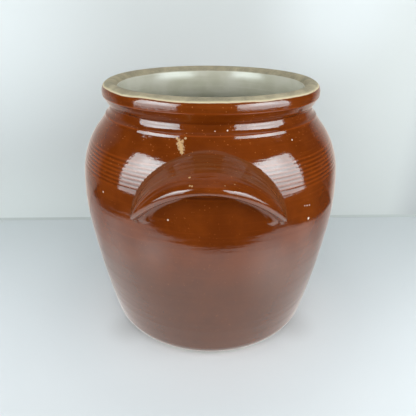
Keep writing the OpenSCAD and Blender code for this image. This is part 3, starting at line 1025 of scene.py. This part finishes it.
white_floor, tree = stage_network("white_floor")
place = object_place(tree)
x, y, _ = axes(tree, place)
aslant = math_node(tree, "MULTIPLY_ADD", y, SHEET_SKEW, x)
from_middle = math_node(tree, "ABSOLUTE", math_node(tree, "ADD", aslant, SHEET_LEFT))
past_side = math_node(tree, "MAXIMUM", math_node(tree, "SUBTRACT", from_middle, SHEET_HALF), 0.0)
front_line = math_node(tree, "MULTIPLY_ADD", x, FRONT_SLANT, FRONT_Y)
past_front = math_node(tree, "MAXIMUM", math_node(tree, "SUBTRACT", front_line, y), 0.0)
past_both = node(tree, "ShaderNodeCombineXYZ", {0: past_side, 1: past_front}).outputs[0]
on_sheet = ramp(tree, vector_node(tree, "LENGTH", {0: past_both}, "Value"), CORNER_OUT, CORNER_IN)
near_pot = ramp(tree, math_node(tree, "ABSOLUTE", x), 0.5, 0.0, 1.2, 1.5)
before_pot = ramp(tree, y, 0.05, -0.10, 0.50, 1.0)
from_pot = vector_node(tree, "LENGTH", {0: place}, "Value")
shaded = ramp(tree, from_pot, 0.11, 0.24, 0.80, 1.0)
patches = [ramp(tree, distance_to(tree, place, at), size, 0.0, 0.0, 0.62) for at, size in LIT_PATCHES]
bright = times(tree, times(tree, near_pot, before_pot), on_sheet)
bright = times(tree, bright, math_node(tree, "ADD", shaded, gather(tree, "ADD", patches)))
floor_glow = math_node(tree, "ADD", bright, 0.03)
print("the sheet ends", round(CORNER_IN - FRONT_Y, 3), "m before the pot's middle")

# %% [markdown]
# To the eye the floor is a pale, cool grey, with painted shade towards the back and painted light to the
# right.
# A halo runs round the foot, where the boxes shine under the belly, and a small shadow lies
# on each side of it.

# %% What the eye sees of the floor
FOOT_SHADOWS = ((-0.090, -0.066, 0.0), (0.094, -0.060, 0.0))
# painted light and shade: the floor's tone is lighter to the right and darker towards the back
rightward = ramp(tree, math_node(tree, "SUBTRACT", x, y), 0.15, 0.45)
front_tone = blend_color(tree, rightward, srgb(215, 222, 225), srgb(225, 233, 236))
back = (ramp(tree, y, -0.10, 0.19), (200, 207, 209))
gaps = [distance_to(tree, place, at) for at in FOOT_SHADOWS]
shadows = [(ramp(tree, gap, 0.036, 0.0, 0.0, 0.7), (178, 183, 184)) for gap in gaps]
halo = times(tree, ramp(tree, from_pot, 0.135, 0.088, 0.0, 0.95), ramp(tree, y, -0.075, -0.10))
halo = math_node(tree, "MAXIMUM", halo, ramp(tree, from_pot, 0.19, 0.10, 0.0, 0.3))
floor_tone = paint(tree, front_tone, back, *shadows, (halo, (252, 254, 255)))
two_looks(tree, floor_tone, srgb(250, 249, 247), floor_glow, one_sided=False)
floor.data.materials.append(white_floor)
print("floor dressed")

# %% [markdown]
# The wall's tone is painted light and shade: lighter low down and in two soft patches where
# the boxes light it, and darker towards its right end and its top right corner. In the glaze it
# fades out to both sides and upwards, so that the rim and the edges of the belly mirror a pale
# band and not the whole wall.

# %% The wall and the seam
WALL_LIGHT_PATCHES = (((*wall_at(-0.34), 0.32), 0.26), ((*wall_at(0.18), 0.35), 0.14))
pale_wall, tree = stage_network("pale_wall")
place = object_place(tree)
x, _, z = axes(tree, place)
patches = [ramp(tree, distance_to(tree, place, at), size, 0.02) for at, size in WALL_LIGHT_PATCHES]
far_corner_shade = times(tree, ramp(tree, x, 0.28, 0.38), ramp(tree, z, 0.28, 0.40))
# painted light and shade: lighter low down and in two patches, darker to the right and in the top right
# corner
tone = blend_color(tree, ramp(tree, z, 0.16, 0.0), srgb(199, 205, 205), srgb(212, 219, 218))
tone = paint(
    tree, tone,
    (ramp(tree, x, 0.10, 0.30), (205, 211, 210)),
    (gather(tree, "MAXIMUM", patches), (215, 222, 223)),
    (far_corner_shade, (186, 192, 192)),
    (ramp(tree, x, 0.31, 0.38), (184, 189, 190)),
)
left_side = ramp(tree, x, -0.95, -0.22, 0.04, 0.92, smooth=False)
right_side = ramp(tree, x, 0.30, 0.56, 0.92, 0.08)
across = math_node(tree, "MINIMUM", left_side, right_side)
wall_glow = times(tree, across, ramp(tree, z, 0.12, 0.42, 1.0, 0.5))
two_looks(tree, tone, srgb(246, 240, 232), wall_glow)
wall.data.materials.append(pale_wall)

seam_grey, tree = stage_network("seam_grey")
two_looks(tree, srgb(190, 198, 196), srgb(190, 198, 196), 0.6)
seam.data.materials.append(seam_grey)
print("wall and seam dressed")

# %% [markdown]
# ## Lamps
#
# Each side has a tall soft box. A real one is brightest in its middle and dimmer near the
# floor, so the glaze sees four lamps: the box, its low end, a glow and a core. The light
# that falls on the pot comes from a fifth one that no reflection shows, so highlights and
# shading can be set apart. One lamp above and one behind the camera fill the shadows.

# %% Area lamps
BOX_TINT = (0.84, 0.97, 1.0)


def area_lamp(name, at, width, height, radiance, facing=None):
    """A flat lamp that the camera doesn't see. It looks down unless it is told where."""
    lamp = bpy.data.lights.new(name, "AREA")
    lamp.shape, lamp.size, lamp.size_y = "RECTANGLE", width, height
    lamp.energy = radiance * math.pi * width * height
    holder = bpy.data.objects.new(name, lamp)
    holder.location = at
    if facing:
        holder.rotation_euler = Vector(facing).to_track_quat("-Z", "Y").to_euler()
    holder.visible_camera = False
    bpy.context.scene.collection.objects.link(holder)
    return holder


def soft_box(name, azimuth, distance, low, high, width, radiance, mirrored=True):
    """An upright lamp that faces the pot. It shows in the glaze, or else it lights the pot."""
    a = math.radians(azimuth)
    middle = (math.sin(a) * distance, -math.cos(a) * distance, (low + high) / 2)
    box = area_lamp(name, middle, width, high - low, radiance, (-math.sin(a), math.cos(a), 0))
    box.visible_glossy, box.visible_diffuse = mirrored, not mirrored
    if mirrored:
        box.data.color = BOX_TINT


# %% Both sides, above and in front
SIDES = (  # name, turn and width of the box, turn of its core, radiance of its low end, of its light
    ("left", -54.5, 0.75, -53.0, 4.3, 2.2),
    ("right", 52.5, 0.93, 53.0, 5.2, 2.85),
)
for side, azimuth, width, core, low_radiance, light in SIDES:
    soft_box(side + "_box", azimuth, 0.90, 0.33, 0.87, width, 7.9)
    soft_box(side + "_low", azimuth, 0.90, 0.09, 0.33, width, low_radiance)
    soft_box(side + "_glow", core, 0.88, 0.44, 0.84, 0.50, 2.0)
    soft_box(side + "_core", core, 0.86, 0.52, 0.80, 0.32, 2.5)
    soft_box(side + "_fill", math.copysign(64, azimuth), 0.90, 0.10, 0.90, 0.80, light, mirrored=False)
overhead = area_lamp("overhead", (0, -0.1, 1.5), 1.6, 1.2, 0.86)
front_fill = area_lamp("front_fill", (0, -1.3, 1.0), 2.0, 1.2, 1.78, facing=(0, 1.3, -0.8))
overhead.visible_glossy = front_fill.visible_glossy = False

# %% [markdown]
# ## The room around it
#
# The world has three looks. The camera sees the tone of the backdrop. The glaze sees a dark
# room with a dim ceiling. Everything else gets a little even light.

# %% The room
world = bpy.data.worlds.new("room")
bpy.context.scene.world = world
world.use_nodes = True
tree = world.node_tree
tree.nodes.clear()
upward = axes(tree, node(tree, "ShaderNodeTexCoord").outputs["Generated"])[2]
dim_room = math_node(tree, "ADD", ramp(tree, upward, 0.80, 0.99, 0.01, 0.25), 0.012)
in_glaze, even, seen = (
    node(tree, "ShaderNodeBackground", {"Color": tint, "Strength": strength}).outputs[0]
    for tint, strength in (
        ((1.0, 0.95, 0.9, 1.0), dim_room), ((0.92, 0.97, 1.0, 1.0), 0.24), (srgb(208, 214, 215), 1.0))
)
path = node(tree, "ShaderNodeLightPath").outputs
around = node(tree, "ShaderNodeMixShader", {0: path["Is Glossy Ray"], 1: even, 2: in_glaze}).outputs[0]
around = node(tree, "ShaderNodeMixShader", {0: path["Is Camera Ray"], 1: around, 2: seen}).outputs[0]
node(tree, "ShaderNodeOutputWorld", {"Surface": around})
print("world:", world.name)

# %% [markdown]
# ## The camera
#
# It stands 44 cm in front of the pot's middle and 33.5 cm up, tipped down by 26 degrees. So
# close, it gives the photograph's strong perspective: the mouth is a wide ellipse and the
# foot is narrow.

# %% Camera
PHOTO_PX, FOCAL_PX, SHIFT_PX, SENSOR = 416, 417, -2.14, 36.0
TIP_DOWN, ROLL = 25.628, 0.378
camera = bpy.data.cameras.new("camera")
camera.sensor_width = SENSOR
camera.lens = FOCAL_PX / PHOTO_PX * SENSOR
camera.shift_x = SHIFT_PX / PHOTO_PX
camera.clip_start, camera.clip_end = 0.02, 20
eye = bpy.data.objects.new("camera", camera)
eye.location = (0, -0.4442, 0.335)
tip = Matrix.Rotation(math.radians(90 - TIP_DOWN), 4, "X")
roll = Matrix.Rotation(math.radians(ROLL), 4, "Z")
eye.rotation_euler = (tip @ roll).to_euler()
bpy.context.scene.collection.objects.link(eye)
bpy.context.scene.camera = eye
bpy.context.scene.view_settings.view_transform = "Standard"
print("camera at", [round(c, 3) for c in eye.location])

# %% The end
bpy.context.view_layer.update()
